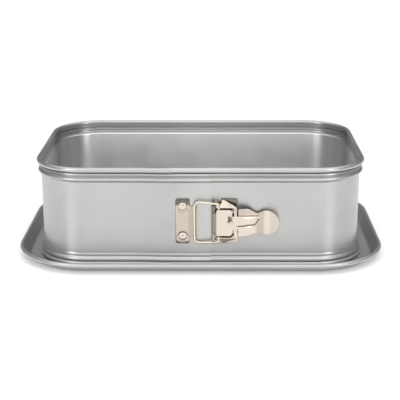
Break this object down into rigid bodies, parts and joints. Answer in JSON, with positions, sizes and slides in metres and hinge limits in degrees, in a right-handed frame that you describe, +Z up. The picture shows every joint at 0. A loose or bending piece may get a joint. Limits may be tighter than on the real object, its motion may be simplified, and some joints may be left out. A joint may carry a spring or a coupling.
{
  "type": "rectangular springform pan",
  "caption": "Rectangular springform cake pan with rounded corners: rimmed base tray, sprung sheet-metal band with rolled rim, over-centre wire latch on the front",
  "frame": {"origin": "middle of the underside of the base tray, on the surface that the pan stands on", "axes": "+X along the pan's length, to the right for someone facing the latch; +Y from the latch towards the back wall; +Z up"},
  "size_m": [0.3242, 0.2242, 0.0886],
  "materials": {
    "band_steel": "satin grey sheet steel, fine grain",
    "tray_steel": "satin grey sheet steel, fine grain",
    "latch_nickel": "warm nickel plating, half bright",
    "bail_wire": "bright nickel-plated spring wire"
  },
  "bodies": {
    "base": {"base_tray": "tray_steel"},
    "back": {"band_back": "band_steel"},
    "side_left": {"band_side_left": "band_steel"},
    "side_right": {"band_side_right": "band_steel"},
    "front_left": {"band_front_left": "band_steel", "catch_plate": "latch_nickel", "catch_rivet_upper": "latch_nickel", "catch_rivet_lower": "latch_nickel"},
    "front_right": {"band_front_right": "band_steel", "hinge_bracket": "latch_nickel", "bracket_rivet_upper": "latch_nickel", "bracket_rivet_lower": "latch_nickel", "hinge_pin": "latch_nickel"},
    "lever": {"latch_lever": "latch_nickel"},
    "bail": {"wire_bail": "bail_wire"}
  },
  "joints": [
    {"name": "band_lift", "type": "slide", "parent": "base", "child": "back", "axis": [0, 0, 1], "range_m": [0, 0.12]},
    {"name": "flex_back_right", "type": "hinge", "parent": "back", "child": "side_right", "pos_m": [0.12752, 0.07752, 0.045], "axis": [0, 0, 1], "range_deg": [0, 2.2]},
    {"name": "flex_front_right", "type": "hinge", "parent": "side_right", "child": "front_right", "pos_m": [0.12752, -0.07752, 0.045], "axis": [0, 0, -1], "range_deg": [0, 2.2]},
    {"name": "flex_back_left", "type": "hinge", "parent": "back", "child": "side_left", "pos_m": [-0.12752, 0.07752, 0.045], "axis": [0, 0, -1], "range_deg": [0, 2.2]},
    {"name": "flex_front_left", "type": "hinge", "parent": "side_left", "child": "front_left", "pos_m": [-0.12752, -0.07752, 0.045], "axis": [0, 0, 1], "range_deg": [0, 2.2]},
    {"name": "lever_swing", "type": "hinge", "parent": "front_right", "child": "lever", "pos_m": [0.0118, -0.0966, 0.0414], "axis": [0, 0, -1], "range_deg": [0, 130]},
    {"name": "bail_swing", "type": "hinge", "parent": "lever", "child": "bail", "pos_m": [0.0162, -0.0958, 0.0414], "axis": [0, 0, 1], "range_deg": [0, 162.5]}
  ],
  "couplings": [
    {"joint": "flex_back_right", "follows": "lever_swing", "ratio": 0.0169},
    {"joint": "flex_front_right", "follows": "lever_swing", "ratio": 0.0169},
    {"joint": "flex_back_left", "follows": "lever_swing", "ratio": 0.0169},
    {"joint": "flex_front_left", "follows": "lever_swing", "ratio": 0.0169},
    {"joint": "bail_swing", "follows": "lever_swing", "ratio": 1.25}
  ]
}
